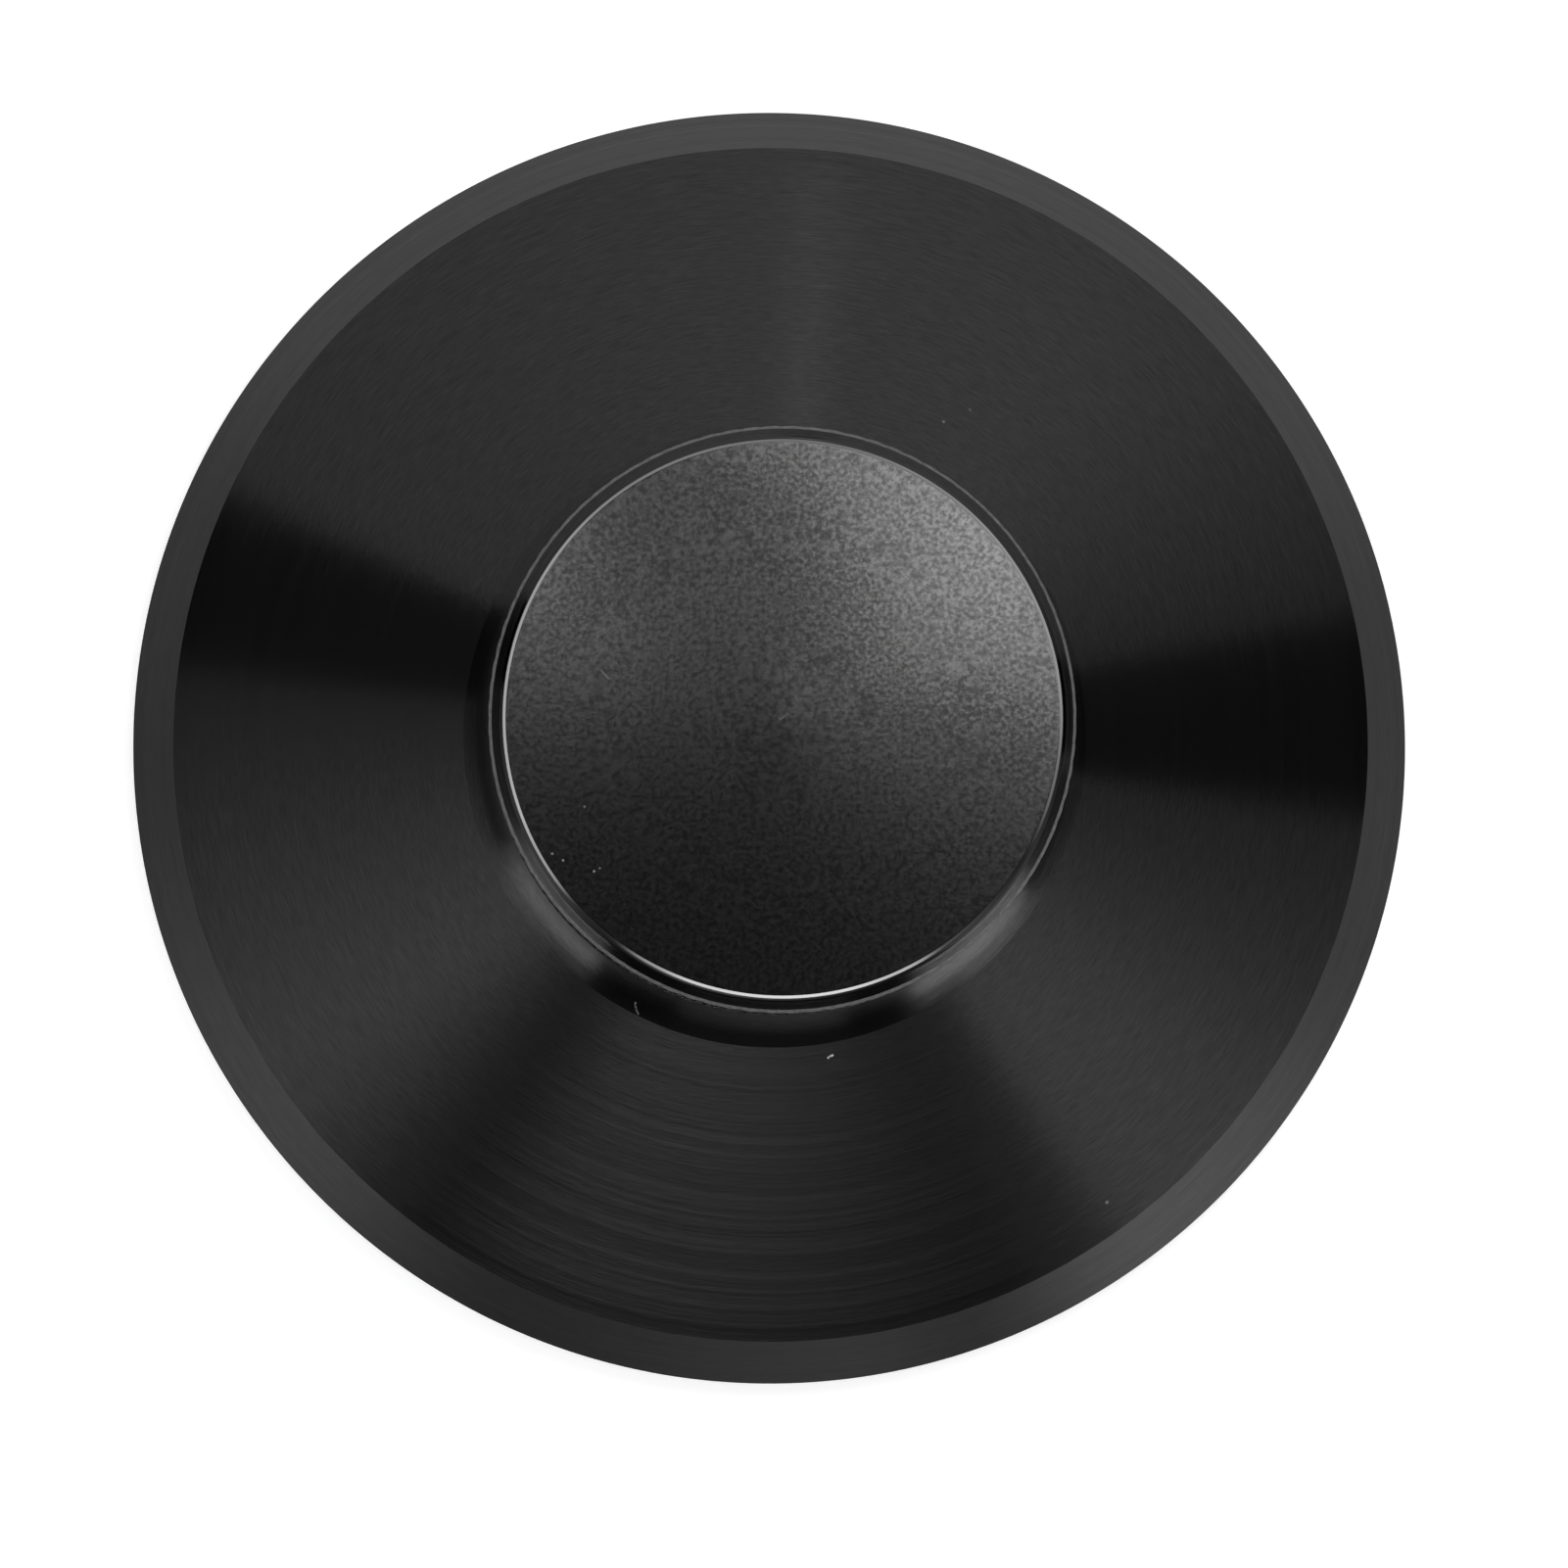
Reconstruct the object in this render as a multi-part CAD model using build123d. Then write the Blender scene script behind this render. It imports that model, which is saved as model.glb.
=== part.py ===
from build123d import *

import math
import os

# A record weight: a turned aluminium body that drops over the spindle of a turntable, and a felt
# ring under it that rests on the record's label. All sizes are in millimetres. The origin is the
# point of the rest plane on the axis, and +Z is up along that axis.

# Body, outside, from the flange up to the knob
rim_diameter = 89.0
rim_wall_height = 4.1
rim_foot_chamfer = 0.6
bevel_inner_diameter = 83.0
bevel_height = 4.6
cone_top_diameter = 42.6
cone_height = 10.8

# Neck, a hollow arc between the cone and the head of the knob
waist_diameter = 32.8
neck_radius = 12.1
neck_top_above_waist = 5.0

# Head of the knob
knob_diameter = 38.9
head_flare_height = 1.5
lower_lip_height = 0.8
upper_lip_height = 0.6
head_bevel_width = 1.05
head_bevel_height = 0.95
face_crown = 0.6
face_edge_break = 0.12
knob_edge_break = 0.2

# Diamond knurl round the head, between its two lips
knurl_teeth = 88
knurl_rows = 5
knurl_angle = 30.0
knurl_depth = 0.35
knurl_backing = 1.0

# Spindle hole, blind, drilled up from the underside
spindle_diameter = 7.2
spindle_clearance = 0.1
spindle_hole_depth = 24.0
drill_point_angle = 118.0
hole_chamfer = 0.8

# Felt ring and the recess that it is glued into
felt_outer_diameter = 77.0
felt_hole_diameter = 19.0
felt_thickness = 1.5
felt_stands_out = 0.5
felt_side_clearance = 0.3

# Levels on the axis, from the rest plane up
underside_z = felt_stands_out
wall_top_z = underside_z + rim_wall_height
bevel_top_z = wall_top_z + bevel_height
cone_top_z = bevel_top_z + cone_height


def neck_centre():
    """Centre of the neck's arc, which passes through the cone's top edge and the waist."""
    reach = neck_radius - (cone_top_diameter - waist_diameter) / 2
    rise = math.sqrt(neck_radius**2 - reach**2)
    return waist_diameter / 2 + neck_radius, cone_top_z + rise


knob_radius = knob_diameter / 2
tooth_pitch = math.pi * knob_diameter / knurl_teeth
knurl_row_height = tooth_pitch / 2 / math.tan(math.radians(knurl_angle))

waist_z = neck_centre()[1]
neck_top_z = waist_z + neck_top_above_waist
head_wall_z = neck_top_z + head_flare_height
knurl_bottom_z = head_wall_z + lower_lip_height
knurl_top_z = knurl_bottom_z + knurl_rows * knurl_row_height
head_bevel_z = knurl_top_z + upper_lip_height
face_edge_z = head_bevel_z + head_bevel_height


def neck_point(z):
    """Point of the neck's arc at height z."""
    centre_x, centre_z = neck_centre()
    return centre_x - math.sqrt(neck_radius**2 - (z - centre_z) ** 2), z


def crown_point(share):
    """Point of the crowned top face, from 0 at its edge to 1 at its middle."""
    edge = knob_radius - head_bevel_width
    sphere = (edge**2 + face_crown**2) / (2 * face_crown)
    angle = math.asin(edge / sphere) * (1 - share)
    return sphere * math.sin(angle), face_edge_z + face_crown - sphere * (1 - math.cos(angle))


def turned_blank():
    """Solid of the outside outline, revolved about the axis, with a groove for the knurl."""
    rim = rim_diameter / 2
    groove = knob_radius - knurl_depth - knurl_backing / 2
    knob_edge = (knob_radius, head_bevel_z)
    face_edge = crown_point(0)
    with BuildSketch(Plane.XZ) as half_section:
        with BuildLine():
            Polyline(
                (0, underside_z),
                (rim - rim_foot_chamfer, underside_z),
                (rim, underside_z + rim_foot_chamfer),
                (rim, wall_top_z),
                (bevel_inner_diameter / 2, bevel_top_z),
                (cone_top_diameter / 2, cone_top_z),
            )
            ThreePointArc(neck_point(cone_top_z), neck_point(waist_z), neck_point(neck_top_z))
            Polyline(
                neck_point(neck_top_z),
                (knob_radius, head_wall_z),
                (knob_radius, knurl_bottom_z),
                (groove, knurl_bottom_z),
                (groove, knurl_top_z),
                (knob_radius, knurl_top_z),
                knob_edge,
                face_edge,
            )
            ThreePointArc(face_edge, crown_point(0.5), crown_point(1))
            Line(crown_point(1), (0, underside_z))
        make_face()
        for corner, width in ((face_edge, face_edge_break), (knob_edge, knob_edge_break)):
            nearest = half_section.vertices().sort_by_distance((*corner, 0))[0]
            chamfer(nearest, width)
    return revolve(half_section.sketch, Axis.Z)


def knurl_point(step, level):
    """Point of the knurl's net: steps of half a tooth round, levels of one row up.

    Where step and level add up to an even number the point is the tip of a diamond. Its
    neighbours, and all points of the first and last level, lie at the bottom of the grooves.
    """
    is_tip = (step + level) % 2 == 0 and 0 < level < knurl_rows
    radius = knob_radius if is_tip else knob_radius - knurl_depth
    angle = math.pi * step / knurl_teeth
    height = knurl_bottom_z + level * knurl_row_height
    return Vector(radius * math.cos(angle), radius * math.sin(angle), height)


def diamond(step, level):
    """Facets of one diamond of the knurl, or of the half of one at the band's two edges."""
    tip = knurl_point(step, level)
    facets = []
    for up_level in (level - 1, level + 1):
        if 0 <= up_level <= knurl_rows:
            for side_step in (step - 1, step + 1):
                corners = (tip, knurl_point(side_step, level), knurl_point(step, up_level))
                facets.append(Face(Wire.make_polygon(corners, close=True)))
    return facets


def knurl_band():
    """Ring with the diamond knurl on its outside, which fills the groove of the blank."""
    steps = 2 * knurl_teeth
    inner = knob_radius - knurl_depth - knurl_backing
    faces = []
    for level in range(knurl_rows + 1):
        for step in range(level % 2, steps, 2):
            faces += diamond(step, level)
    for level in (0, knurl_rows):
        outline = Wire.make_polygon([knurl_point(step, level) for step in range(steps)], close=True)
        hole = Wire(Edge.make_circle(inner, Plane.XY.offset(outline.center().Z)))
        faces.append(Face(outline, [hole]))
    bottom = Edge.make_circle(inner, Plane.XY.offset(knurl_bottom_z))
    faces.append(Face.extrude(bottom, (0, 0, knurl_top_z - knurl_bottom_z)))
    return Solid(Shell(faces))


def spindle_hole():
    """Tool shape of the drilled hole: chamfered mouth, wall and the drill's pointed end."""
    radius = spindle_diameter / 2 + spindle_clearance
    end_z = underside_z + spindle_hole_depth
    point_height = radius / math.tan(math.radians(drill_point_angle / 2))
    with BuildSketch(Plane.XZ) as half_section:
        with BuildLine():
            Polyline(
                (0, underside_z),
                (radius + hole_chamfer, underside_z),
                (radius, underside_z + hole_chamfer),
                (radius, end_z),
                (0, end_z + point_height),
                (0, underside_z),
            )
        make_face()
    return revolve(half_section.sketch, Axis.Z)


def ring(outer, inner, bottom, top):
    """Flat ring between two radii and two heights."""
    height = top - bottom
    disc = Cylinder(outer, height, align=(Align.CENTER, Align.CENTER, Align.MIN))
    middle = Cylinder(inner, height, align=(Align.CENTER, Align.CENTER, Align.MIN))
    return Pos(0, 0, bottom) * (disc - middle)


def felt_recess():
    """Tool shape of the shallow ring-shaped recess that takes the felt."""
    outer = felt_outer_diameter / 2 + felt_side_clearance
    inner = felt_hole_diameter / 2 - felt_side_clearance
    return ring(outer, inner, underside_z, felt_thickness)


def weight_body():
    """Body: knurled blank with the spindle hole and the felt's recess cut from below."""
    return turned_blank() - spindle_hole() - felt_recess() + knurl_band()


def felt_ring():
    """Felt ring, from the rest plane up to the recess's roof."""
    return ring(felt_outer_diameter / 2, felt_hole_diameter / 2, 0, felt_thickness)


nodes = {
    "weight_body": weight_body(),
    "felt_ring": felt_ring(),
}

os.makedirs("parts", exist_ok=True)
for name, shape in nodes.items():
    export_step(shape, f"parts/{name}.step")
    print(name, "volume mm3", round(shape.volume, 1))
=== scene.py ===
import math

import bpy
import numpy as np
from mathutils import Matrix, Vector


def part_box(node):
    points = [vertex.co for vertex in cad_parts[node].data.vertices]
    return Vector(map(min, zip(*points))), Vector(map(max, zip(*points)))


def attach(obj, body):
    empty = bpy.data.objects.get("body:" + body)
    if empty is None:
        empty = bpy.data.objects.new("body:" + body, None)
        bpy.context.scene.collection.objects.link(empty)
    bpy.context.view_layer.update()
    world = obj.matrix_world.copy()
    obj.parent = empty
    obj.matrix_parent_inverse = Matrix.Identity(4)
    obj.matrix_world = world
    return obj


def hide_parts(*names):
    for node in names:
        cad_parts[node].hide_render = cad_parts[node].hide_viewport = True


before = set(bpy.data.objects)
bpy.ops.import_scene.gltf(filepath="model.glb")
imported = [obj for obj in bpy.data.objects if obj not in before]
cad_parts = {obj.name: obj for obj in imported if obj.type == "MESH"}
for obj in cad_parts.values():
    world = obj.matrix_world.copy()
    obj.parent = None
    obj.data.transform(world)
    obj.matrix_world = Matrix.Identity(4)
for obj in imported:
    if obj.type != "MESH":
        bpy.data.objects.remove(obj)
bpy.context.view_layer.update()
MM = 0.001

# Body. One bar of aluminium turned to a bevelled flange, a shallow cone, a hollow neck and a headed
# knob, with a blind spindle hole and a felt recess below. It is knurled round the head, blasted on
# its top face and then anodised black all over. Lengths of the pieces are in millimetres.

low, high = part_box("weight_body")
rim_radius = min(high.x, high.y, -low.x, -low.y) / MM
underside = low.z / MM
crown_top = high.z / MM

# Flange and cone
foot_chamfer = 0.6
rim_wall_height = 4.1
bevel_height = 4.6
bevel_inner_radius = 41.5
cone_height = 10.8
cone_head_radius = 21.3
bevel_foot = underside + rim_wall_height
bevel_head = bevel_foot + bevel_height
cone_head = bevel_head + cone_height

# Neck, an arc from the cone's head past the waist to the foot of the knob
waist_radius = 16.4
neck_arc = 12.1
neck_above_waist = 5.0
neck_axis = waist_radius + neck_arc
waist_height = cone_head + math.sqrt(neck_arc**2 - (neck_axis - cone_head_radius) ** 2)
neck_top = waist_height + neck_above_waist
neck_from = math.pi - math.asin(neck_above_waist / neck_arc)
neck_to = math.pi + math.asin((waist_height - cone_head) / neck_arc)
neck_top_radius = neck_axis + neck_arc * math.cos(neck_from)

# Knob, with a lip below and above the knurl, and a groove for the knurled band between them
knob_radius = 19.45
head_flare_height = 1.5
lower_lip = 0.8
upper_lip = 0.6
knurl_teeth = 88
knurl_rows = 5
knurl_angle = 30
knurl_depth = 0.35
groove_backing = 0.15
row_height = math.pi * knob_radius / knurl_teeth / math.tan(math.radians(knurl_angle))
lip_foot = neck_top + head_flare_height
knurl_foot = lip_foot + lower_lip
knurl_head = knurl_foot + knurl_rows * row_height
lip_head = knurl_head + upper_lip
groove_radius = knob_radius - knurl_depth - groove_backing

# Top face, slightly domed, with a narrow steeper edge
face_radius = 18.28
face_crown = 0.634
centre_slope = 0.011
edge_width = 0.35
edge_drop = 0.11

# Felt recess and spindle hole
recess_outer = 38.8
recess_inner = 9.2
recess_roof = underside + 1.0
hole_radius = 3.7
hole_chamfer = 0.8
drill_point_angle = 118
hole_end = underside + 24.0
hole_tip = hole_end + hole_radius / math.tan(math.radians(drill_point_angle / 2))


def line(start, end, count=2):
    """Straight side of an outline, as evenly spaced points from start to end."""
    share = np.linspace(0, 1, count)[:, None]
    return (1 - share) * np.array(start, float) + share * np.array(end, float)


def arc(centre, radius, start_angle, end_angle, count):
    """Round side of an outline: centre plus radius times the cosine and sine of the angle."""
    angle = np.linspace(start_angle, end_angle, count)
    return np.column_stack((centre[0] + radius * np.cos(angle), centre[1] + radius * np.sin(angle)))


def left_normals(points):
    """Unit normals to the left of a chain of points.

    An inner point takes the mean heading of the segments beside it, and an end point the heading
    that goes on turning at the same rate; the normal is that heading turned left by a right angle.
    """
    along = np.diff(points, axis=0)
    heading = np.unwrap(np.arctan2(along[:, 1], along[:, 0]))
    middle = (heading[:-1] + heading[1:]) / 2
    if len(heading) > 1:
        first = heading[0] - (heading[1] - heading[0]) / 2
        last = heading[-1] + (heading[-1] - heading[-2]) / 2
    else:
        first = last = heading[0]
    angle = np.concatenate(([first], middle, [last])) + np.pi / 2
    return np.column_stack((np.cos(angle), np.sin(angle)))


def rounded_outline(sides, rounds, count):
    """Chain of sides with each corner rounded: points, unit normals and the side each belongs to.

    A corner that turns by an angle loses the round's radius times the tangent of half the angle
    from both sides, and an arc of that radius, tangent to both, takes its place. The arc's points
    belong half way between the two sides.
    """
    sides = [side.copy() for side in sides]
    corners = []
    for before, after, radius in zip(sides, sides[1:], rounds):
        corner = before[-1].copy()
        arriving = (before[-1] - before[-2]) / np.linalg.norm(before[-1] - before[-2])
        leaving = (after[1] - after[0]) / np.linalg.norm(after[1] - after[0])
        heading = math.atan2(arriving[1], arriving[0])
        turn = (math.atan2(leaving[1], leaving[0]) - heading + math.pi) % (2 * math.pi) - math.pi
        cut = radius * math.tan(abs(turn) / 2)
        before[-1] = corner - cut * arriving
        after[0] = corner + cut * leaving
        hand = math.copysign(1, turn)
        start = heading - hand * math.pi / 2
        centre = before[-1] - radius * np.array((math.cos(start), math.sin(start)))
        angle = np.linspace(start, start + turn, count + 2)[1:-1]
        outward = np.column_stack((np.cos(angle), np.sin(angle)))
        corners.append((centre + radius * outward, -hand * outward))
    points, normals, owners = [], [], []
    for index, side in enumerate(sides):
        points.append(side)
        normals.append(left_normals(side))
        owners += [index] * len(side)
        if index < len(corners):
            points.append(corners[index][0])
            normals.append(corners[index][1])
            owners += [index + 0.5] * count
    return np.vstack(points), np.vstack(normals), np.array(owners)


def turned(name, points, normals, steps, inward):
    """Closed surface of revolution of an outline of radius and height, as a new object.

    The outline starts and ends on the axis, in two poles. Between them, point (i, j) has the
    outline's i-th height and its i-th radius, less the inward depth there, and is turned by j
    steps.
    """
    turn = np.arange(steps) * 2 * np.pi / steps
    radius = np.repeat(points[1:-1, :1], steps, axis=1)
    height = np.repeat(points[1:-1, 1:], steps, axis=1)
    radius = radius - inward(radius, height, turn[None, :])
    rings = np.stack((radius * np.cos(turn), radius * np.sin(turn), height), axis=-1)
    vertices = np.vstack((rings.reshape(-1, 3), [[0, 0, points[0, 1]], [0, 0, points[-1, 1]]]))
    across, up = normals[1:-1, :1], normals[1:-1, 1:]
    smooth = np.stack((across * np.cos(turn), across * np.sin(turn), up + 0 * turn), axis=-1)
    smooth = np.vstack((smooth.reshape(-1, 3), [[0, 0, 1], [0, 0, -1]]))
    index = np.arange(radius.size).reshape(radius.shape)
    beside = np.roll(index, -1, axis=1)
    start, end = np.full(steps, radius.size), np.full(steps, radius.size + 1)
    walls = np.stack((index[:-1], index[1:], beside[1:], beside[:-1]), axis=-1)
    faces = walls.reshape(-1, 4).tolist()
    faces += np.column_stack((start, index[0], beside[0])).tolist()
    faces += np.column_stack((index[-1], end, beside[-1])).tolist()
    mesh = bpy.data.meshes.new(name)
    mesh.from_pydata(vertices * MM, [], faces)
    mesh.update()
    mesh.shade_smooth()
    mesh.normals_split_custom_set_from_vertices(smooth)
    piece = bpy.data.objects.new(name, mesh)
    bpy.context.scene.collection.objects.link(piece)
    return piece


# Sides from the middle of the top face, out and down, and back in along the underside, then the
# radius of the round between each one and the next.
crown_radius = np.linspace(0, face_radius, 12)
crown_bend = 2 * (face_crown - centre_slope * face_radius) / face_radius**2
crown_height = crown_top - centre_slope * crown_radius - crown_bend * crown_radius**2 / 2
edge_foot = (face_radius + edge_width, crown_top - face_crown - edge_drop)
body_sides = [
    np.column_stack((crown_radius, crown_height)),
    line((face_radius, crown_top - face_crown), edge_foot, 3),
    line(edge_foot, (knob_radius, lip_head), 3),
    line((knob_radius, lip_head), (knob_radius, knurl_head), 3),
    line((knob_radius, knurl_head), (groove_radius, knurl_head)),
    line((groove_radius, knurl_head), (groove_radius, knurl_foot)),
    line((groove_radius, knurl_foot), (knob_radius, knurl_foot)),
    line((knob_radius, knurl_foot), (knob_radius, lip_foot), 3),
    line((knob_radius, lip_foot), (neck_top_radius, neck_top)),
    arc((neck_axis, waist_height), neck_arc, neck_from, neck_to, 32),
    line((cone_head_radius, cone_head), (bevel_inner_radius, bevel_head), 4),
    line((bevel_inner_radius, bevel_head), (rim_radius, bevel_foot)),
    line((rim_radius, bevel_foot), (rim_radius, underside + foot_chamfer)),
    line((rim_radius, underside + foot_chamfer), (rim_radius - foot_chamfer, underside)),
    line((rim_radius - foot_chamfer, underside), (recess_outer, underside)),
    line((recess_outer, underside), (recess_outer, recess_roof)),
    line((recess_outer, recess_roof), (recess_inner, recess_roof), 3),
    line((recess_inner, recess_roof), (recess_inner, underside)),
    line((recess_inner, underside), (hole_radius + hole_chamfer, underside)),
    line((hole_radius + hole_chamfer, underside), (hole_radius, underside + hole_chamfer)),
    line((hole_radius, underside + hole_chamfer), (hole_radius, hole_end), 3),
    line((hole_radius, hole_end), (0, hole_tip)),
]
body_rounds = [0.2, 0.65, 0.75, 0.05, 0.03, 0.03, 0.05, 0.2, 0.3, 0.12, 0.1, 0.12]
body_rounds += [0.08] * (len(body_sides) - 1 - len(body_rounds))
round_points = 4
body_points, body_normals, body_sides_of = rounded_outline(body_sides, body_rounds, round_points)

nick_depth = 0.05
nick_reach = 0.3
nick_fade = 0.5


def tool_marks(radius, height, turn):
    """Depth of the shallow nicks where the knurling wheel ran out over the two lips.

    One nick for each tooth: the cube of a raised cosine of the tooth angle, at full depth beside
    the knurl and fading out past the lip's far edge. Round the lip the depth wanders, by a cosine
    of seven times the turn whose phase swings three times a turn.
    """
    on_lip = radius > knob_radius - nick_reach
    above = np.clip((lip_head + nick_reach - height) / nick_fade, 0, 1)
    above = above * (height > knurl_head - 0.01)
    below = np.clip((height - lip_foot) / nick_fade, 0, 1) * (height < knurl_foot + 0.01)
    nick = (0.5 + 0.5 * np.cos(turn * knurl_teeth)) ** 3
    uneven = 0.7 + 0.3 * np.cos(turn * 7 + 2 * np.cos(turn * 3))
    return nick_depth * nick * uneven * np.where(on_lip, above + below, 0)


steps_per_tooth = 6
body_steps = knurl_teeth * steps_per_tooth
turned_body = turned("turned_body", body_points, body_normals, body_steps, tool_marks)


def linear(hex_code):
    """Linear colour and an alpha of 1 from an sRGB hex code."""
    parts = [int(hex_code[start : start + 2], 16) / 255 for start in (1, 3, 5)]
    return [
        part / 12.92 if part <= 0.04045 else ((part + 0.055) / 1.055) ** 2.4 for part in parts
    ] + [1]


def add(tree, kind, settings=None, links=None):
    """Adds a node with its settings, on properties or sockets, and links its sockets to outputs."""
    node = tree.nodes.new("ShaderNode" + kind)
    for key, value in (settings or {}).items():
        if isinstance(key, str) and hasattr(node, key):
            setattr(node, key, value)
        else:
            node.inputs[key].default_value = value
    for key, output in (links or {}).items():
        tree.links.new(output, node.inputs[key])
    return node


def new_tree(owner):
    """Empty node tree of a new material, lamp or world."""
    owner.use_nodes = True
    owner.node_tree.nodes.clear()
    return owner.node_tree


def pale_speck_share(tree, place, specks):
    """Share of pale specks at a place, the largest that any speck gives there: dust, and on the top
    face also a painted highlight.

    Each speck has its x, y, z and size in millimetres and its level: it gives that level within
    0.7 of its size from its own place, none from 1.3 of it on, and a straight fall between.
    """
    pale_share = None
    for x, y, z, size, level in specks:
        spot = [part * MM for part in (x, y, z)]
        gap = add(tree, "VectorMath", {"operation": "DISTANCE", 1: spot}, {0: place})
        near = {"From Min": 1.3 * size * MM, "From Max": 0.7 * size * MM, "To Max": level}
        near = add(tree, "MapRange", near, {"Value": gap.outputs["Value"]}).outputs[0]
        if pale_share is None:
            pale_share = near
        else:
            pale_share = add(tree, "Math", {"operation": "MAXIMUM"}, {0: pale_share, 1: near}).outputs[0]
    return pale_share


# Aluminium, turned and then anodised black: the dye swallows nearly all light and the clear oxide
# over it reflects about a twentieth. The tool leaves rings 0.1 mm apart, so a reflection is drawn
# out across them: the gloss is rough along the radius and sharp round the axis. The rings are drawn
# 0.15 mm apart, because closer ones are too fine to show, and they break up a little round the
# axis. Under them lie broad waves, about 3 mm from crest to crest, where the tool gave way, and the
# cone dips in its last millimetre before the bevel, which shows as a dark band. Rings and waves are
# counted by the radius less the height, which grows steadily from the neck to the rim.
ring_pitch = 0.15
ring_height = 0.03
wave_pitch = 3.0
wave_height = 0.03
dip_from, dip_to = 30.6, 32.3
dip_depth = 0.9  # of the waves' height
turned_finish = bpy.data.materials.new("black anodised aluminium, turned")
tree = new_tree(turned_finish)
place = add(tree, "TexCoord").outputs["Object"]
parts = add(tree, "SeparateXYZ", links={0: place}).outputs
flat = add(tree, "CombineXYZ", links={0: parts[0], 1: parts[1]}).outputs[0]
radius = add(tree, "VectorMath", {"operation": "LENGTH"}, {0: flat}).outputs["Value"]
along = add(tree, "Math", {"operation": "SUBTRACT"}, {0: radius, 1: parts[2]}).outputs[0]

bearing = add(tree, "VectorMath", {"operation": "NORMALIZE"}, {0: flat})
bearing = add(tree, "VectorMath", {"operation": "SCALE", "Scale": 25.0}, {0: bearing.outputs[0]})
count = add(tree, "Math", {"operation": "MULTIPLY", 1: 1 / (ring_pitch * MM)}, {0: along})
count = add(tree, "CombineXYZ", links={2: count.outputs[0]})
ring_place = {0: bearing.outputs[0], 1: count.outputs[0]}
ring_place = add(tree, "VectorMath", {"operation": "ADD"}, ring_place).outputs[0]
rings = {"Scale": 1.0, "Detail": 3.0, "Roughness": 0.6}
rings = add(tree, "TexNoise", rings, {"Vector": ring_place}).outputs["Fac"]

waves = {"noise_dimensions": "1D", "Scale": 1 / (wave_pitch * MM), "Detail": 3.0, "Roughness": 0.5}
waves = add(tree, "TexNoise", waves, {"W": along})
dip = {"From Min": dip_from * MM, "From Max": dip_to * MM, "To Max": -dip_depth}
dip = add(tree, "MapRange", dip | {"interpolation_type": "SMOOTHSTEP"}, {"Value": along})
wavy = add(tree, "Math", {"operation": "ADD"}, {0: waves.outputs["Fac"], 1: dip.outputs[0]})
wavy = add(tree, "Bump", {"Distance": wave_height * MM}, {"Height": wavy.outputs[0]})
bump = {"Height": rings, "Normal": wavy.outputs[0]}
bump = add(tree, "Bump", {"Strength": 0.2, "Distance": ring_height * MM}, bump)
tangent = add(tree, "Tangent", {"direction_type": "RADIAL", "axis": "Z"})
ramp = add(tree, "ValToRGB", links={0: rings})
for stop, share, shade in zip(ramp.color_ramp.elements, (0.3, 0.7), ("#363636", "#424242")):
    stop.position, stop.color = share, linear(shade)
coated = add(
    tree,
    "BsdfPrincipled",
    {"Metallic": 1.0, "Roughness": 0.2, "Anisotropic": 0.75, "Anisotropic Rotation": 0.25},
    {"Base Color": ramp.outputs[0], "Normal": bump.outputs[0], "Tangent": tangent.outputs[0]},
)

# A few specks of dust and one bit of lint lie on the cone and the neck, each a pale dot at its own
# place. Noise shifts them by up to a tenth of a millimetre, which leaves their outlines uneven.
shift = 0.1
ragged = add(tree, "TexNoise", {"Scale": 1 / (2 * shift * MM)}, {"Vector": place})
ragged = {0: ragged.outputs["Color"]}
ragged = add(tree, "VectorMath", {"operation": "SUBTRACT", 1: [0.5] * 3}, ragged)
ragged = {0: ragged.outputs[0], 2: place}
ragged = add(tree, "VectorMath", {"operation": "MULTIPLY_ADD", 1: [2 * shift * MM] * 3}, ragged)
pale_share = pale_speck_share(
    tree,
    ragged.outputs[0],
    (
        (3.66, -21.98, 19.51, 0.08, 1.0),
        (3.8, -21.89, 19.51, 0.08, 1.0),
        (3.94, -21.81, 19.51, 0.08, 1.0),
        (-9.34, -19.0, 20.1, 0.06, 0.25),
        (-9.42, -18.85, 20.18, 0.06, 0.25),
        (-9.48, -18.7, 20.26, 0.06, 0.25),
        (-9.52, -18.55, 20.35, 0.06, 0.25),
        (-9.54, -18.4, 20.45, 0.06, 0.25),
        (-9.55, -18.25, 20.56, 0.06, 0.25),
        (11.64, 21.73, 18.21, 0.11, 0.17),
        (13.49, 22.61, 17.31, 0.12, 0.07),
        (23.24, -31.84, 10.31, 0.11, 0.17),
    ),
)
pale_shader = add(tree, "BsdfDiffuse", {"Color": linear("#dcdcdc")})
shader = add(tree, "MixShader", links={0: pale_share, 1: coated.outputs[0], 2: pale_shader.outputs[0]})
add(tree, "OutputMaterial", links={"Surface": shader.outputs[0]})

# The same aluminium, bead-blasted on the top face before anodising: dents a quarter of a millimetre
# across break the reflection into a soft grain. Dust lies on it too, and one short pale scratch
# crosses it. In the middle the lathe's centre left a tiny ring, and the bright arc that it catches
# is
# a painted highlight: a faint pale arc of specks.
dent_size = 0.27
speckle_size = 0.3
blasted_finish = bpy.data.materials.new("black anodised aluminium, bead-blasted")
tree = new_tree(blasted_finish)
place = add(tree, "TexCoord").outputs["Object"]
grain = {"Scale": 1 / (dent_size * MM), "Detail": 1.0, "Roughness": 0.5}
grain = add(tree, "TexNoise", grain, {"Vector": place})
bump = {"Strength": 0.05, "Distance": 0.05 * MM}
bump = add(tree, "Bump", bump, {"Height": grain.outputs["Fac"]})
speckle = {"Scale": 1 / (speckle_size * MM), "Detail": 1.5, "Roughness": 0.6}
speckle = add(tree, "TexNoise", speckle, {"Vector": place})
ramp = add(tree, "ValToRGB", links={0: speckle.outputs["Fac"]})
for stop, share, shade in zip(ramp.color_ramp.elements, (0.34, 0.66), ("#303030", "#484848")):
    stop.position, stop.color = share, linear(shade)
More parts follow.
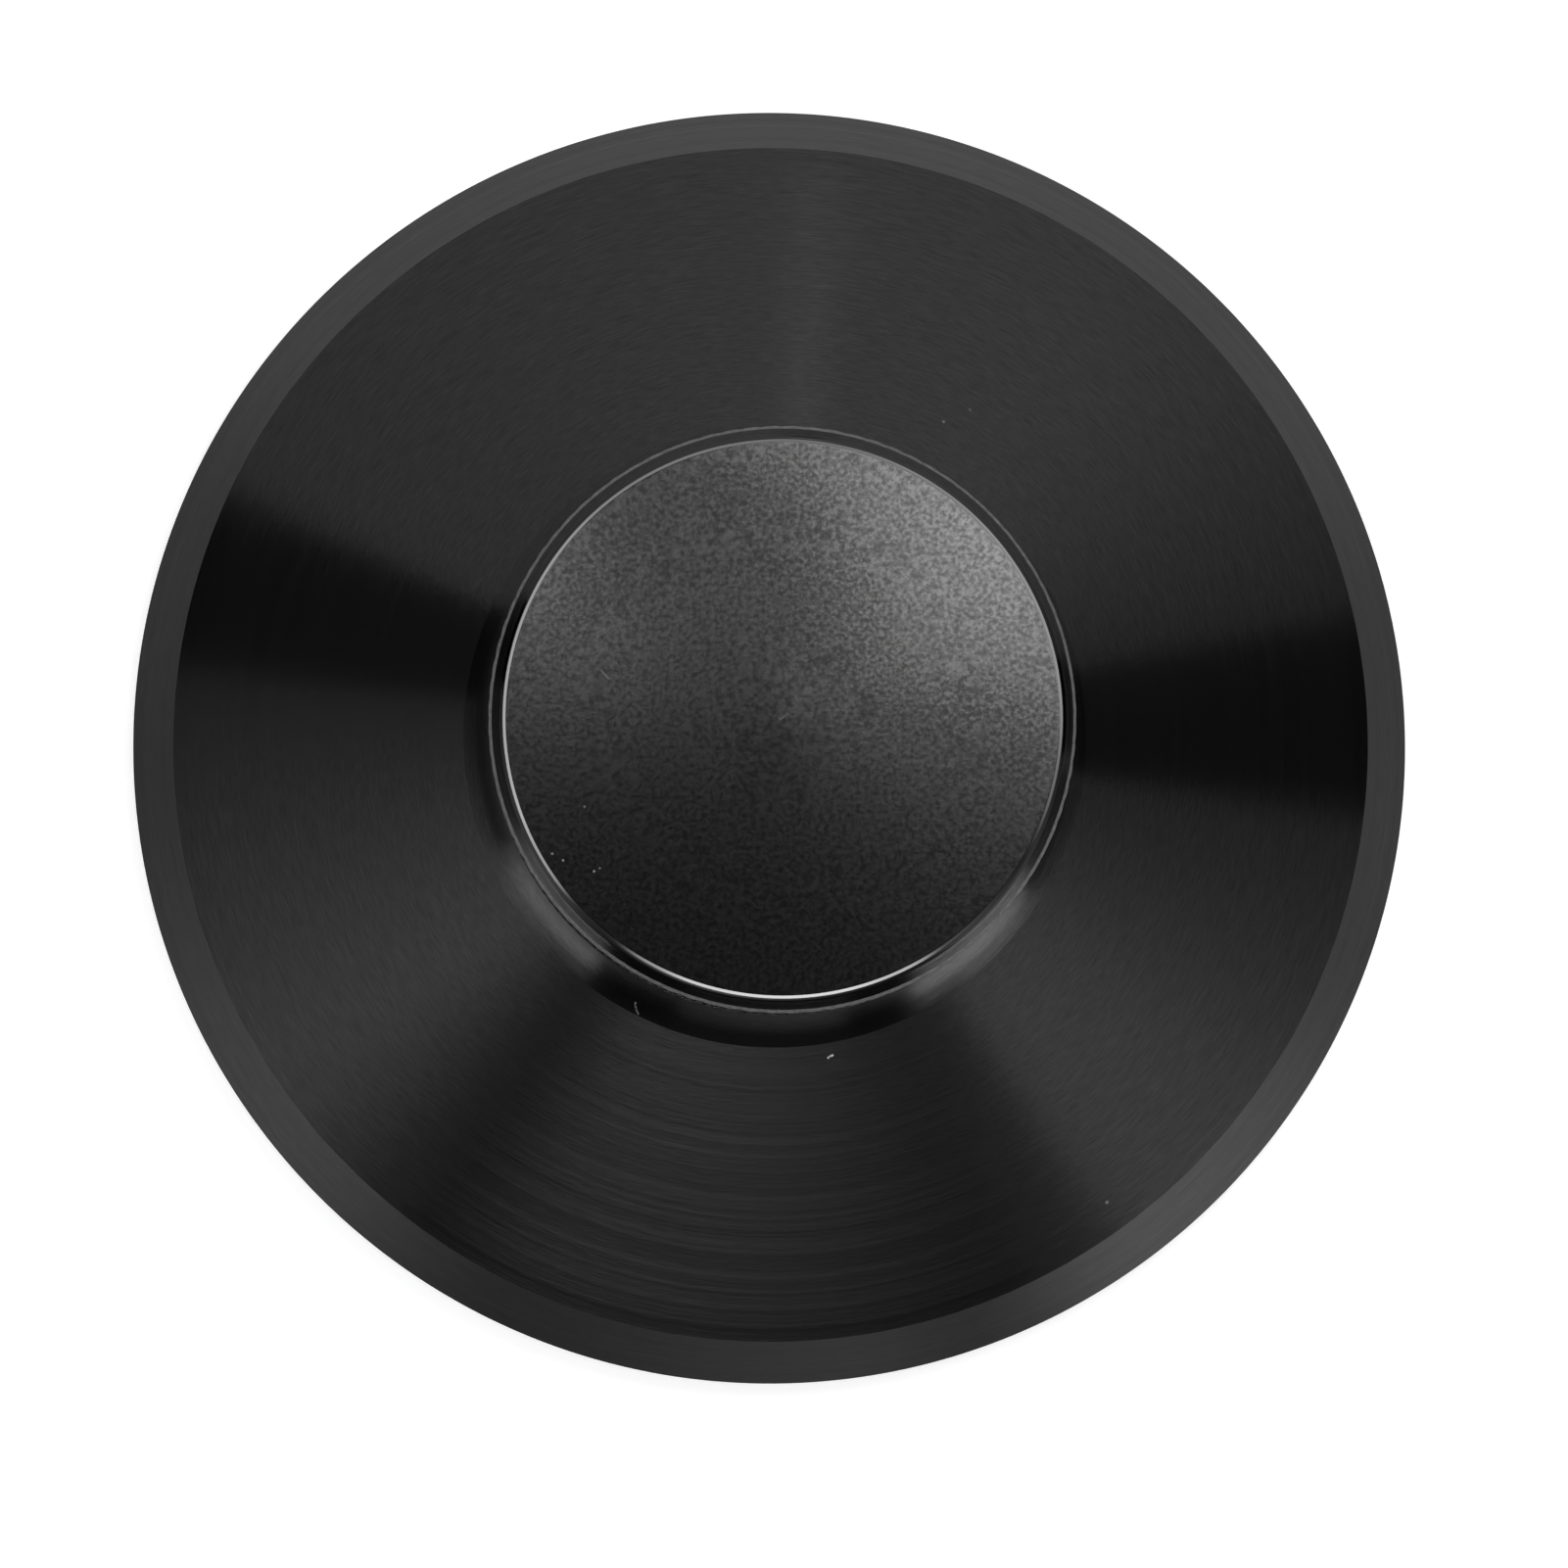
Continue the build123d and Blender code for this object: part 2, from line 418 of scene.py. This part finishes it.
coated = add(
    tree,
    "BsdfPrincipled",
    {"Metallic": 1.0, "Roughness": 0.225},
    {"Base Color": ramp.outputs[0], "Normal": bump.outputs[0]},
)
pale_share = pale_speck_share(
    tree,
    place,
    (
        (-12.07, -9.91, 44.73, 0.07, 0.3),
        (-12.45, -10.11, 44.7, 0.08, 0.45),
        (-14.49, -9.39, 44.62, 0.08, 0.4),
        (-15.21, -8.95, 44.6, 0.08, 0.35),
        (-13.08, -5.85, 44.8, 0.08, 0.3),
        (-11.98, 3.12, 44.9, 0.07, 0.25),
        (-11.87, 3.0, 44.9, 0.07, 0.25),
        (-11.76, 2.88, 44.91, 0.07, 0.25),
        (-11.65, 2.76, 44.91, 0.07, 0.25),
        (-11.54, 2.64, 44.91, 0.07, 0.25),
        # These five specks are a painted highlight: the bright arc that the lathe's centre mark
        # catches.
        (-0.2, -0.08, 45.19, 0.07, 0.12),
        (-0.08, 0.0, 45.19, 0.07, 0.12),
        (0.04, 0.08, 45.19, 0.07, 0.12),
        (0.15, 0.18, 45.19, 0.07, 0.12),
        (0.25, 0.3, 45.19, 0.07, 0.12),
    ),
)
pale_shader = add(tree, "BsdfDiffuse", {"Color": linear("#b4b4b4")})
shader = add(tree, "MixShader", links={0: pale_share, 1: coated.outputs[0], 2: pale_shader.outputs[0]})
add(tree, "OutputMaterial", links={"Surface": shader.outputs[0]})

# The narrow edge of the top face, left bright from the tool between the blasting and the bevel: the
# same coating over a polished surface, so it mirrors the lamps as a thin sharp line.
polished_finish = bpy.data.materials.new("black anodised aluminium, polished edge")
tree = new_tree(polished_finish)
polish = {"Base Color": linear("#3f3f3f"), "Metallic": 1.0, "Roughness": 0.09}
shader = add(tree, "BsdfPrincipled", polish)
add(tree, "OutputMaterial", links={"Surface": shader.outputs[0]})

# The edge of the knob where the knurling wheel ran out: the coating is thinner on its fine broken
# crests, so it is a little lighter and so rough that it looks the same pale grey from all sides.
crest_size = 0.35
broken_finish = bpy.data.materials.new("black anodised aluminium, broken edge")
tree = new_tree(broken_finish)
place = add(tree, "TexCoord").outputs["Object"]
breaks = {"Scale": 1 / (crest_size * MM), "Detail": 2.0, "Roughness": 0.6}
breaks = add(tree, "TexNoise", breaks, {"Vector": place})
ramp = add(tree, "ValToRGB", links={0: breaks.outputs["Fac"]})
for stop, share, shade in zip(ramp.color_ramp.elements, (0.35, 0.65), ("#525252", "#6a6a6a")):
    stop.position, stop.color = share, linear(shade)
rough = {"Metallic": 0.3, "Roughness": 0.7}
shader = add(tree, "BsdfPrincipled", rough, {"Base Color": ramp.outputs[0]})
add(tree, "OutputMaterial", links={"Surface": shader.outputs[0]})

# The blasted face is the outline's first side, the polished edge is its second with the rounds at
# both its ends, the broken edge is the round below the head's bevel, and all the rest is turned.
for finish in (turned_finish, blasted_finish, polished_finish, broken_finish):
    turned_body.data.materials.append(finish)
owner = body_sides_of[2:-1]
row_slots = [owner <= 0, owner <= 1.5, (owner > 2.4) & (owner < 2.6)]
row_slots = np.select(row_slots, [1, 2, 3], 0).astype(np.int32)
wall_faces = len(row_slots) * body_steps
face_slots = np.zeros(len(turned_body.data.polygons), np.int32)
face_slots[:wall_faces] = np.repeat(row_slots, body_steps)
face_slots[wall_faces : wall_faces + body_steps] = 1
turned_body.data.polygons.foreach_set("material_index", face_slots)
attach(turned_body, "root")
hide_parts("weight_body")


# Knurl round the head, rolled into the turned blank with a pair of crossed wheels before anodising:
# five rows of diamonds, 88 to a turn, each pressed up to a small blunt tip.
tip_size = 0.16  # of the diamond's size
tip_lift = 0.9  # of the knurl's depth
band_overlap = 0.2


def knurl_band(name):
    """Closed ring whose outside is a net of blunt pyramids, as a new object.

    The net's points lie every half tooth round and every row up, at the grooves' depth. A diamond
    stands on each point where steps and rows add up to an even number: its four corners are the
    neighbours, and its blunt tip is the same diamond shrunk to the tip's size and moved out by the
    lift's share of the depth. Half diamonds fill the first and last row, and a plain wall inside
    closes the ring.
    """
    steps = 2 * knurl_teeth
    step, rows = np.arange(steps), np.arange(knurl_rows + 1)
    angle = step * np.pi / knurl_teeth
    outward = np.column_stack((np.cos(angle), np.sin(angle), 0 * angle))
    upward = np.array([0, 0, 1])
    levels = knurl_foot + rows * row_height
    net = (knob_radius - knurl_depth) * outward + levels[:, None, None] * upward
    levels = np.array([knurl_foot, knurl_head])
    wall = (groove_radius - band_overlap) * outward + levels[:, None, None] * upward
    corners = net.reshape(-1, 3)
    index = np.arange(len(corners)).reshape(len(rows), steps)
    inside = index.size + np.arange(2 * steps).reshape(2, steps)

    row, col = np.nonzero((rows[:, None] + step[None, :]) % 2 == 0)
    full = (row > 0) & (row < knurl_rows)
    row, col = row[full], col[full]
    left, right = index[row, (col - 1) % steps], index[row, (col + 1) % steps]
    above, below = index[row + 1, col], index[row - 1, col]
    around = np.stack((right, above, left, below), axis=-1)
    middle = corners[index[row, col]][:, None, :]
    lift = tip_lift * knurl_depth * outward[col][:, None, :]
    tips = middle + tip_size * (corners[around] - middle) + lift
    tip = index.size + inside.size + np.arange(around.size).reshape(-1, 4)
    quads = [tip]
    for k, n in ((0, 1), (1, 2), (2, 3), (3, 0)):
        quads.append(np.column_stack((around[:, k], around[:, n], tip[:, n], tip[:, k])))

    triangles = []
    for edge, next_row in ((0, 1), (knurl_rows, knurl_rows - 1)):
        col = step[(step + edge) % 2 == 0]
        right, left = index[edge, (col + 1) % steps], index[edge, (col - 1) % steps]
        fan = [right, index[next_row, col], left]
        if edge > 0:
            fan.reverse()
        for first, last in zip(fan, fan[1:]):
            triangles.append(np.column_stack((index[edge, col], first, last)))

    beside = np.roll(step, -1)
    foot, head = index[0], index[-1]
    inner_foot, inner_head = inside
    quads.append(np.column_stack((foot, inner_foot, inner_foot[beside], foot[beside])))
    quads.append(np.column_stack((head, head[beside], inner_head[beside], inner_head)))
    quads.append(np.column_stack((inner_foot, inner_head, inner_head[beside], inner_foot[beside])))

    points = np.vstack((corners, wall.reshape(-1, 3), tips.reshape(-1, 3)))
    quads, triangles = np.vstack(quads), np.vstack(triangles)
    every_corner = np.concatenate((quads.ravel(), triangles.ravel()))
    used, renumbered = np.unique(every_corner, return_inverse=True)
    quads = renumbered[: quads.size].reshape(-1, 4)
    triangles = renumbered[quads.size :].reshape(-1, 3)
    mesh = bpy.data.meshes.new(name)
    mesh.from_pydata(points[used] * MM, [], quads.tolist() + triangles.tolist())
    mesh.update()
    piece = bpy.data.objects.new(name, mesh)
    bpy.context.scene.collection.objects.link(piece)
    return piece


knurled_band = knurl_band("knurled_band")

# Rolled metal is burnished by the wheels and then anodised, so it is glossy in every direction.
wear_size = 0.4
knurled_finish = bpy.data.materials.new("black anodised aluminium, knurled")
tree = new_tree(knurled_finish)
place = add(tree, "TexCoord").outputs["Object"]
wear = add(tree, "TexNoise", {"Scale": 1 / (wear_size * MM), "Detail": 2.0}, {"Vector": place})
bump = {"Strength": 0.08, "Distance": 0.05 * MM}
bump = add(tree, "Bump", bump, {"Height": wear.outputs["Fac"]})
burnish = {"Base Color": linear("#3c3c3c"), "Metallic": 1.0, "Roughness": 0.28}
shader = add(tree, "BsdfPrincipled", burnish, {"Normal": bump.outputs[0]})
add(tree, "OutputMaterial", links={"Surface": shader.outputs[0]})
knurled_band.data.materials.append(knurled_finish)
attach(knurled_band, "root")


# Felt ring, punched from a sheet of pressed black wool felt and glued into the recess, with half a
# millimetre standing out below. Loose fibres scatter the light, so it is dull and uneven.
fibre_size = 0.35
clump_size = 3.0
felt_finish = bpy.data.materials.new("pressed wool felt, black")
tree = new_tree(felt_finish)
place = add(tree, "TexCoord").outputs["Object"]
fibres = {"Scale": 1 / (fibre_size * MM), "Detail": 4.0, "Roughness": 0.7, "Distortion": 1.5}
fibres = add(tree, "TexNoise", fibres, {"Vector": place}).outputs["Fac"]
clumps = add(tree, "TexNoise", {"Scale": 1 / (clump_size * MM), "Detail": 2.0}, {"Vector": place})
mixed = {0: clumps.outputs["Fac"], 2: fibres}
mixed = add(tree, "Math", {"operation": "MULTIPLY_ADD", 1: 0.35}, mixed)
ramp = add(tree, "ValToRGB", links={0: mixed.outputs[0]})
for stop, share, shade in zip(ramp.color_ramp.elements, (0.45, 0.85), ("#101011", "#2c2c2e")):
    stop.position, stop.color = share, linear(shade)
bump = add(tree, "Bump", {"Strength": 0.6, "Distance": 0.12 * MM}, {"Height": fibres})
shader = add(
    tree,
    "BsdfPrincipled",
    {
        "Roughness": 0.95,
        "Sheen Weight": 0.25,
        "Sheen Roughness": 0.5,
        "Sheen Tint": linear("#8c8c90"),
    },
    {"Base Color": ramp.outputs[0], "Normal": bump.outputs[0]},
)
add(tree, "OutputMaterial", links={"Surface": shader.outputs[0]})
felt = bpy.data.objects["felt_ring"]
felt.data.materials.clear()
felt.data.materials.append(felt_finish)


# Studio: a white table that runs out of sight on all sides and keeps a soft shadow. It lies a hair
# below the rest plane and is clear from below, so that the underside can be looked at too. From
# here on, lengths are in metres.
reach, table_level = 4.0, -0.00002
table_glow = 0.55
table_mesh = bpy.data.meshes.new("table")
corners = [(x * reach, y * reach, table_level) for x, y in ((-1, -1), (1, -1), (1, 1), (-1, 1))]
table_mesh.from_pydata(corners, [], [(0, 1, 2, 3)])
table = bpy.data.objects.new("table", table_mesh)
bpy.context.scene.collection.objects.link(table)
table_finish = bpy.data.materials.new("white table")
tree = new_tree(table_finish)
rays = add(tree, "LightPath").outputs
seen = {0: rays["Is Camera Ray"], 1: rays["Is Glossy Ray"]}
seen = add(tree, "Math", {"operation": "MAXIMUM"}, seen)
seen = {0: seen.outputs[0], 1: rays["Is Transmission Ray"]}
seen = add(tree, "Math", {"operation": "MAXIMUM"}, seen)
glow = add(tree, "Math", {"operation": "MULTIPLY", 1: table_glow}, {0: seen.outputs[0]})
matt = add(tree, "BsdfDiffuse", {"Color": linear("#e4e4e4")})
light = add(tree, "Emission", links={"Strength": glow.outputs[0]})
both = add(tree, "AddShader", links={0: matt.outputs[0], 1: light.outputs[0]})
clear = add(tree, "BsdfTransparent")
under = add(tree, "NewGeometry").outputs["Backfacing"]
top_only = add(tree, "MixShader", links={0: under, 1: both.outputs[0], 2: clear.outputs[0]})
add(tree, "OutputMaterial", links={"Surface": top_only.outputs[0]})
table_mesh.materials.append(table_finish)

# The air gives a dim light from all sides, and is white where the camera looks past the table.
dim = 0.2
world = bpy.data.worlds.new("studio")
tree = new_tree(world)
past = add(tree, "LightPath").outputs["Is Camera Ray"]
level = add(tree, "Math", {"operation": "MULTIPLY_ADD", 1: 1 - dim, 2: dim}, {0: past})
air = add(tree, "Background", {"Color": linear("#ffffff")}, {"Strength": level.outputs[0]})
add(tree, "OutputWorld", links={"Surface": air.outputs[0]})
bpy.context.scene.world = world


def facing(bearing, elevation, distance, height):
    """Placement at a bearing, elevation and distance from a point on the axis, looking back at it.

    The lamp's own z axis is the unit vector out to it, its x axis lies level, and y completes them.
    """
    bearing, elevation = math.radians(bearing), math.radians(elevation)
    level = math.cos(elevation)
    out = Vector((level * math.cos(bearing), level * math.sin(bearing), math.sin(elevation)))
    side = Vector((-math.sin(bearing), math.cos(bearing), 0))
    turn = Matrix((side, out.cross(side), out)).transposed().to_4x4()
    return Matrix.Translation(Vector((0, 0, height)) + out * distance) @ turn


# Softboxes round the object. Each has its bearing and elevation in degrees, its distance, width and
# height in metres, its brightness, and for the two sides and then the foot and head of its cloth
# how far in from there the light fades, as a share of that length, and the level it fades to. All
# of them face a point a little way up the axis.
facing_height = 0.02
all_round = ((0.2, 0), (0.2, 0), (0.2, 0), (0.2, 0))
softboxes = {
    "back_left": (120, 28, 0.9, 1.16, 0.95, 0.59, ((0, 1), (1, 0.5), (0.3, 0.5), (0.3, 0))),
    "back_right": (46, 28, 0.9, 1.24, 0.95, 0.59, ((0.65, 0), (0, 1), (0.3, 0.5), (0.3, 0))),
    "right": (-28.5, 26, 0.9, 0.69, 0.9, 0.7, ((0.08, 0.7), (0.8, 0.15), (0.1, 0.4), (0.2, 0))),
    "front": (-97, 42, 0.6, 0.54, 0.24, 0.98, ((0.3, 0), (0.6, 0), (0.5, 0), (0.25, 0))),
    "left": (-165, 30, 0.9, 0.92, 0.8, 0.74, ((0.95, 0), (0.25, 0.2), (0.1, 0.4), (0.2, 0))),
    "key": (49.5, 74, 0.55, 0.31, 0.118, 7.6, all_round),
    "key_middle": (42, 79, 0.55, 0.05, 0.1, 5.7, all_round),
    "second": (135.5, 78, 0.55, 0.04, 0.1, 9.0, all_round),
    "low_right": (-42.5, 0, 0.22, 0.145, 0.11, 4.1, ((0.1, 0), (0.35, 0), (0, 1), (0.75, 0))),
    "low_left": (-144, 0, 0.22, 0.135, 0.11, 2.55, ((0.35, 0), (0.1, 0), (0, 1), (0.65, 0))),
}
for name, (bearing, elevation, distance, width, height, brightness, fades) in softboxes.items():
    lamp = bpy.data.lights.new(name, "AREA")
    lamp.shape = "RECTANGLE"
    lamp.size = width
    lamp.size_y = height
    lamp.energy = brightness * math.pi * width * height
    tree = new_tree(lamp)
    across = add(tree, "NewGeometry").outputs["Parametric"]
    across = add(tree, "SeparateXYZ", links={0: across}).outputs
    shape = None
    edges = ((0, 0, 1), (0, 1, -1), (1, 0, 1), (1, 1, -1))
    for (share, level), (axis, start, inward) in zip(fades, edges):
        if share == 0:
            continue
        fade = {"From Min": start, "From Max": start + inward * share, "To Min": level}
        fade = fade | {"interpolation_type": "SMOOTHSTEP"}
        fade = add(tree, "MapRange", fade, {"Value": across[axis]}).outputs[0]
        if shape is None:
            shape = fade
        else:
            shape = add(tree, "Math", {"operation": "MULTIPLY"}, {0: shape, 1: fade}).outputs[0]
    cloth = add(tree, "Emission", links={"Strength": shape})
    add(tree, "OutputLight", links={"Surface": cloth.outputs[0]})
    piece = bpy.data.objects.new(name, lamp)
    piece.matrix_world = facing(bearing, elevation, distance, facing_height)
    piece.visible_camera = False
    bpy.context.scene.collection.objects.link(piece)


def band(name, bearing, foot, head, finish):
    """Open band round the axis: two edges at the bearings, each with its radius and height there.

    A point of an edge is the radius times the cosine and sine of its bearing, and the height.
    """
    edges = [
        np.column_stack((radius * np.cos(bearing), radius * np.sin(bearing), height + 0 * bearing))
        for radius, height in (foot, head)
    ]
    low = np.arange(len(bearing) - 1)
    up = low + len(bearing)
    mesh = bpy.data.meshes.new(name)
    mesh.from_pydata(np.vstack(edges), [], np.column_stack((low, low + 1, up + 1, up)).tolist())
    mesh.materials.append(finish)
    piece = bpy.data.objects.new(name, mesh)
    bpy.context.scene.collection.objects.link(piece)
    piece.visible_camera = False
    piece.visible_shadow = False
    return piece


def round_shades(tree, stops):
    """Ramp over the bearing, from stops of degrees from -180 to 180 and their colours.

    The gradient's value is the bearing's share of a turn, with half a turn added.
    """
    place = add(tree, "TexCoord").outputs["Object"]
    around = add(tree, "TexGradient", {"gradient_type": "RADIAL"}, {0: place})
    ramp = add(tree, "ValToRGB", links={0: around.outputs["Fac"]})
    ramp.color_ramp.interpolation = "EASE"
    elements = ramp.color_ramp.elements
    elements[0].position, elements[1].position = 0.0, 1.0
    elements[0].color, elements[1].color = stops[-180], stops[180]
    for bearing, colour in stops.items():
        if -180 < bearing < 180:
            elements.new(bearing / 360 + 0.5).color = colour
    return ramp.outputs[0]


# Cards out of the camera's sight, which put the dark parts into the gloss: they stand between the
# softboxes, and one hangs overhead. Each spans two bearings in degrees and runs from one radius and
# height to another, in metres.
card_finish = bpy.data.materials.new("black card")
tree = new_tree(card_finish)
matt = add(tree, "BsdfDiffuse", {"Color": linear("#1c1c1c")})
add(tree, "OutputMaterial", links={"Surface": matt.outputs[0]})
cards = {
    "card_front": (-128, -62, (0.20, 0.037), (0.20, 0.108)),
    "card_front_left": (-128, -109, (0.20, 0.0), (0.20, 0.037)),
    "card_front_right": (-74, -62, (0.20, 0.0), (0.20, 0.037)),
    "card_right": (-29, -8, (0.21, 0.0), (0.21, 0.045)),
    "card_left": (-203, -160, (0.21, 0.0), (0.21, 0.050)),
    "card_gap_right": (-4, 15, (0.40, 0.0), (0.40, 0.42)),
    "card_gap_left": (152, 170, (0.40, 0.0), (0.40, 0.42)),
    "card_ceiling": (0, 360, (0.0, 1.2), (0.55, 1.2)),
}
card_points = 73
for name, (start, end, foot, head) in cards.items():
    span = np.radians(np.linspace(start, end, card_points))
    band(name, span, foot, head, card_finish).visible_diffuse = False

# A grey sheet on the table round the foot, graded round, which only the gloss sees: the bevel and
# the neck mirror it, so its shades are painted reflection. It glows a little, as the table under it
# does, and that glow is painted light in the same reflection.
reflection_sheet_glow = 0.27
reflection_sheet_inner, reflection_sheet_outer, reflection_sheet_level = 0.046, 1.0, 0.0005
reflection_sheet_finish = bpy.data.materials.new("painted reflection sheet, graded")
tree = new_tree(reflection_sheet_finish)
# Painted reflection: the sheet's shade at each bearing, as the bevel and the neck show it.
painted_reflection_shades = {-180: "#9c9c9c", -142: "#cdcdcd", -115: "#8a8a8a", -82: "#afafaf", -71: "#9c9c9c"}
painted_reflection_shades |= {-51: "#f0f0f0", -15: "#b1b1b1", 10: "#a8a8a8", 35: "#c0c0c0", 90: "#cfcfcf"}
painted_reflection_shades |= {135: "#c2c2c2", 160: "#a5a5a5", 180: "#9c9c9c"}
shade = round_shades(tree, {bearing: linear(shade) for bearing, shade in painted_reflection_shades.items()})
matt = add(tree, "BsdfDiffuse", links={"Color": shade})
# Painted light: the sheet glows in the gloss, though it is no lamp.
light = add(tree, "Emission", {"Strength": reflection_sheet_glow}, {"Color": shade})
both = add(tree, "AddShader", links={0: matt.outputs[0], 1: light.outputs[0]})
add(tree, "OutputMaterial", links={"Surface": both.outputs[0]})
whole_turn = np.linspace(-np.pi, np.pi, 145)
reflection_sheet_edges = (reflection_sheet_inner, reflection_sheet_level), (reflection_sheet_outer, reflection_sheet_level)
band("painted_reflection_ring", whole_turn, *reflection_sheet_edges, reflection_sheet_finish).visible_diffuse = False

# A ring lamp overhead, 60 mm wide and graded round, which draws the bright line along the edge of
# the top face. It hangs where that edge mirrors it into the camera, so it leans with the view: from
# the top face it stands 36.4 degrees off the axis, give or take 3.1 degrees round the ring.
lamp_power = 17.0
lamp_rise = 0.742
lamp_half_width = 0.03
lamp_slant, lamp_lean, lamp_lean_bearing = 36.4, 3.1, 114.5
ring_light = bpy.data.materials.new("ring lamp")
tree = new_tree(ring_light)
levels = {-180: 0.54, -165: 0.6, -150: 0.42, -140: 0.03, -128: 0.02, -118: 0.42, -108: 0.9}
levels |= {-90: 1.0, -75: 1.0, -60: 0.65, -50: 0.08, -25: 0.02, -8: 0.2, 12: 0.4, 35: 0.4}
levels |= {60: 0.3, 80: 0.22, 115: 0.26, 145: 0.45, 180: 0.54}
level = round_shades(tree, {bearing: (v, v, v, 1) for bearing, v in levels.items()})
glow = add(tree, "Emission", {"Strength": lamp_power}, {"Color": level})
add(tree, "OutputMaterial", links={"Surface": glow.outputs[0]})
lean = lamp_lean * np.cos(whole_turn + math.radians(lamp_lean_bearing))
slant = np.radians(lamp_slant - lean)
lamp_radius, lamp_height = lamp_rise * np.tan(slant), crown_top * MM + lamp_rise
across, down = lamp_half_width * np.cos(slant), lamp_half_width * np.sin(slant)
lamp_foot = (lamp_radius + across, lamp_height - down)
lamp_head = (lamp_radius - across, lamp_height + down)
band("ring_lamp", whole_turn, lamp_foot, lamp_head, ring_light)

# Camera, nearly overhead with a long lens: it looks at the aim point from a distance, a tilt off
# the vertical and a bearing, with its right hand level.
lens_data = bpy.data.cameras.new("camera")
lens_data.lens = 232.48
lens_data.sensor_width = 36
lens_data.clip_start = 0.01
lens_data.clip_end = 20
camera = bpy.data.objects.new("camera", lens_data)
bpy.context.scene.collection.objects.link(camera)
aim = Vector((0.976, -2.621, 4.6)) * MM
distance = 708 * MM
tilt, bearing = math.radians(2.774), math.radians(-117.81)
level = math.sin(tilt)
toward = Vector((level * math.cos(bearing), level * math.sin(bearing), math.cos(tilt)))
right = Vector((0, 1, 0)).cross(toward).normalized()
up = toward.cross(right)
turn = Matrix((right, up, toward)).transposed().to_4x4()
camera.matrix_world = Matrix.Translation(aim + distance * toward) @ turn
bpy.context.scene.camera = camera
bpy.context.scene.view_settings.view_transform = "Standard"
